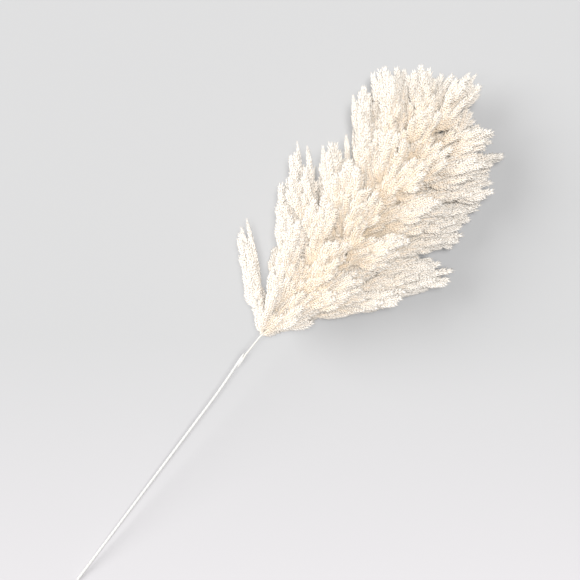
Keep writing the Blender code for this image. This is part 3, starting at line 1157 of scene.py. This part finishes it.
def buildMainStem():
    low, high = stemLine["cutEnd"], stemLine["top"]

    def placeAt(share, turn):
        x = low + (high - low) * share
        rise, mark = lapAt(x, turn)
        radius = stemRadius(x) * windings["drawn"] + rise
        radius *= roundedEnd(x, high, stemLine["topRadius"])
        return roundAbout(stemPoint, x, turn, radius), mark

    steps = round((high - low) / windings["ringStep"])
    bm = rolledGrid(placeAt, steps, windings["sides"])
    end = min(bm.faces, key=lambda face: face.calc_center_median().x)
    bmesh.ops.inset_individual(bm, faces=[end], thickness=windings["endWall"])
    inwards = (stemPoint(low + windings["endReach"]) - stemPoint(low)).normalized()
    inwards *= windings["endDepth"]
    pressed = bmesh.ops.extrude_discrete_faces(bm, faces=[end])["faces"][0]
    bmesh.ops.translate(bm, vec=inwards, verts=pressed.verts)
    stemPiece(bm, "tape_wrapped_stem", "main_stem", tape)


# the real stem inside the tape, seen only at the cut end
pith = {"clear": 0.00080, "start": 0.0002, "length": 0.012, "steps": 6, "sides": 20}


def buildPith():
    low = stemLine["cutEnd"] + pith["start"]

    def placeAt(share, turn):
        x = low + pith["length"] * share
        return roundAbout(stemPoint, x, turn, stemRadius(x) - pith["clear"]), 0.0

    bm = rolledGrid(placeAt, pith["steps"], pith["sides"])
    stemPiece(bm, "cut_stem_end", "main_stem", straw)


# the plume's stem swells a little at its joints
plumeStem = {
    "steps": 260,
    "sides": 14,
    "jointPitch": 0.046,
    "jointSwell": 0.16,
    "jointLength": 0.0016,
}


def buildPlumeStem():
    low, high = plumeLine["start"], plumeLine["end"]

    def placeAt(share, turn):
        x = low + (high - low) * share
        away = abs((x / plumeStem["jointPitch"] + 0.5) % 1.0 - 0.5) * plumeStem["jointPitch"]
        swell = 1 + plumeStem["jointSwell"] * math.exp(-((away / plumeStem["jointLength"]) ** 2))
        radius = plumeRadius(x) * (swell if x > 0 else 1.0)
        radius *= roundedEnd(x, high, plumeLine["endRadius"])
        return roundAbout(plumePoint, x, turn, radius), 0.0

    bm = rolledGrid(placeAt, plumeStem["steps"], plumeStem["sides"])
    stemPiece(bm, "straw_plume_stem", "plume_stem", straw)


# the binding: a few turns of the same tape, drawn tight round both stems
binding = {
    "start": -0.0545,
    "end": -0.040,
    "clear": 0.0001,
    "wall": 0.0003,
    "pitch": 0.0042,
    "outerRings": 36,
    "innerRings": 6,
    "sides": 36,
}


def aroundBoth(x, turn, clear):
    out = Vector((0.0, math.cos(turn), math.sin(turn)))
    wound = stemRadius(x) * windings["drawn"]
    stems = ((stemPoint(x), wound + clear), (plumePoint(x), plumeRadius(x) + clear))
    return max((centre + out * radius for centre, radius in stems), key=out.dot)


def buildBinding():
    b = binding
    outer = [(x, True) for x in spaced(b["start"], b["end"], b["outerRings"])]
    inner = [(x, False) for x in spaced(b["end"], b["start"], b["innerRings"])]
    profile = outer + inner + outer[:1]

    def placeAt(share, turn):
        x, outside = profile[round(share * (len(profile) - 1))]
        rise, mark = lapAt(x * windings["pitch"] / b["pitch"], turn)
        return aroundBoth(x, turn, b["clear"] + (b["wall"] + rise if outside else 0.0)), mark

    bm = rolledGrid(placeAt, len(profile) - 1, b["sides"], rejoins=True)
    stemPiece(bm, "tape_binding", "binding", tape)


buildMainStem()
buildPith()
buildPlumeStem()
buildBinding()
print("stems and binding built")


# camera straight above, turned so that the stem runs up to the right
view = {
    "over": (0.083, 0.006),
    "height": 2.28,
    "lens": 90.9,
    "sensor": 36.0,
    "stemInPicture": (0.6, 0.8),
    "gamma": 1.3,
}


def makeCamera():
    data = bpy.data.cameras.new("camera")
    data.lens = view["lens"]
    data.sensor_width = view["sensor"]
    camera = placed("camera", data)
    overX, overY = view["over"]
    camera.location = (overX + shift.x, overY + shift.y, view["height"])
    rightwards, upwards = view["stemInPicture"]
    camera.rotation_euler = (0, 0, -math.atan2(upwards, rightwards))
    bpy.context.scene.camera = camera


makeCamera()


# a wide sun from the picture's left for the soft shadow, one from straight above, a little fill
studio = {
    "fill": 0.14,
    "fillColour": (1.0, 0.995, 0.99, 1.0),
    "from": (-0.37, 0.93, 0.0),
    "distance": 3.0,
    "key light": {"elevation": math.radians(42), "spread": math.radians(40), "strength": 2.75},
    "top light": {"elevation": math.radians(90), "spread": math.radians(12), "strength": 3.19},
}


def makeLight(name):
    light = studio[name]
    level = Vector(studio["from"]).normalized() * math.cos(light["elevation"])
    towards = level + Vector((0, 0, math.sin(light["elevation"])))
    data = bpy.data.lights.new(name, "SUN")
    data.angle = light["spread"]
    data.energy = light["strength"]
    sun = placed(name, data)
    sun.location = towards * studio["distance"]
    sun.rotation_euler = towards.to_track_quat("Z", "Y").to_euler()


def makeStudio():
    world = bpy.data.worlds.new("studio")
    world.use_nodes = True
    background = world.node_tree.nodes["Background"]
    background.inputs["Color"].default_value = studio["fillColour"]
    background.inputs["Strength"].default_value = studio["fill"]
    bpy.context.scene.world = world
    makeLight("key light")
    makeLight("top light")


# the floor has painted light: its colour grows paler to one side
floorLook = {
    "size": 8.0,
    "drop": 0.0001,
    "colour": (0.38, 0.38, 0.383, 1.0),
    "pale": (0.51, 0.488, 0.508, 1.0),
    "paintedLightWay": (-0.8, -0.6, 0.0),
    "paintedLightRise": 1.6,
    "roughness": 0.85,
}


def makeFloor():
    bm = bmesh.new()
    bmesh.ops.create_grid(bm, x_segments=1, y_segments=1, size=floorLook["size"])
    mesh = meshFrom(bm, "floor")
    floor = placed("floor", mesh)
    floor.location.z = -floorLook["drop"]
    board = Board("studio floor")
    along = board.node(
        "ShaderNodeVectorMath",
        {"operation": "DOT_PRODUCT"},
        {0: board.place(), 1: floorLook["paintedLightWay"]},
        out="Value",
    )
    # painted light: paler along one way across the floor
    paintedLight = along * floorLook["paintedLightRise"]
    tone = board.mixColours(paintedLight, floorLook["colour"], floorLook["pale"])
    mesh.materials.append(board.finish(Base_Color=tone, Roughness=floorLook["roughness"]))


makeStudio()
makeFloor()
bpy.context.scene.view_settings.view_transform = "Standard"
bpy.context.scene.view_settings.gamma = view["gamma"]
print("camera, light and floor made")
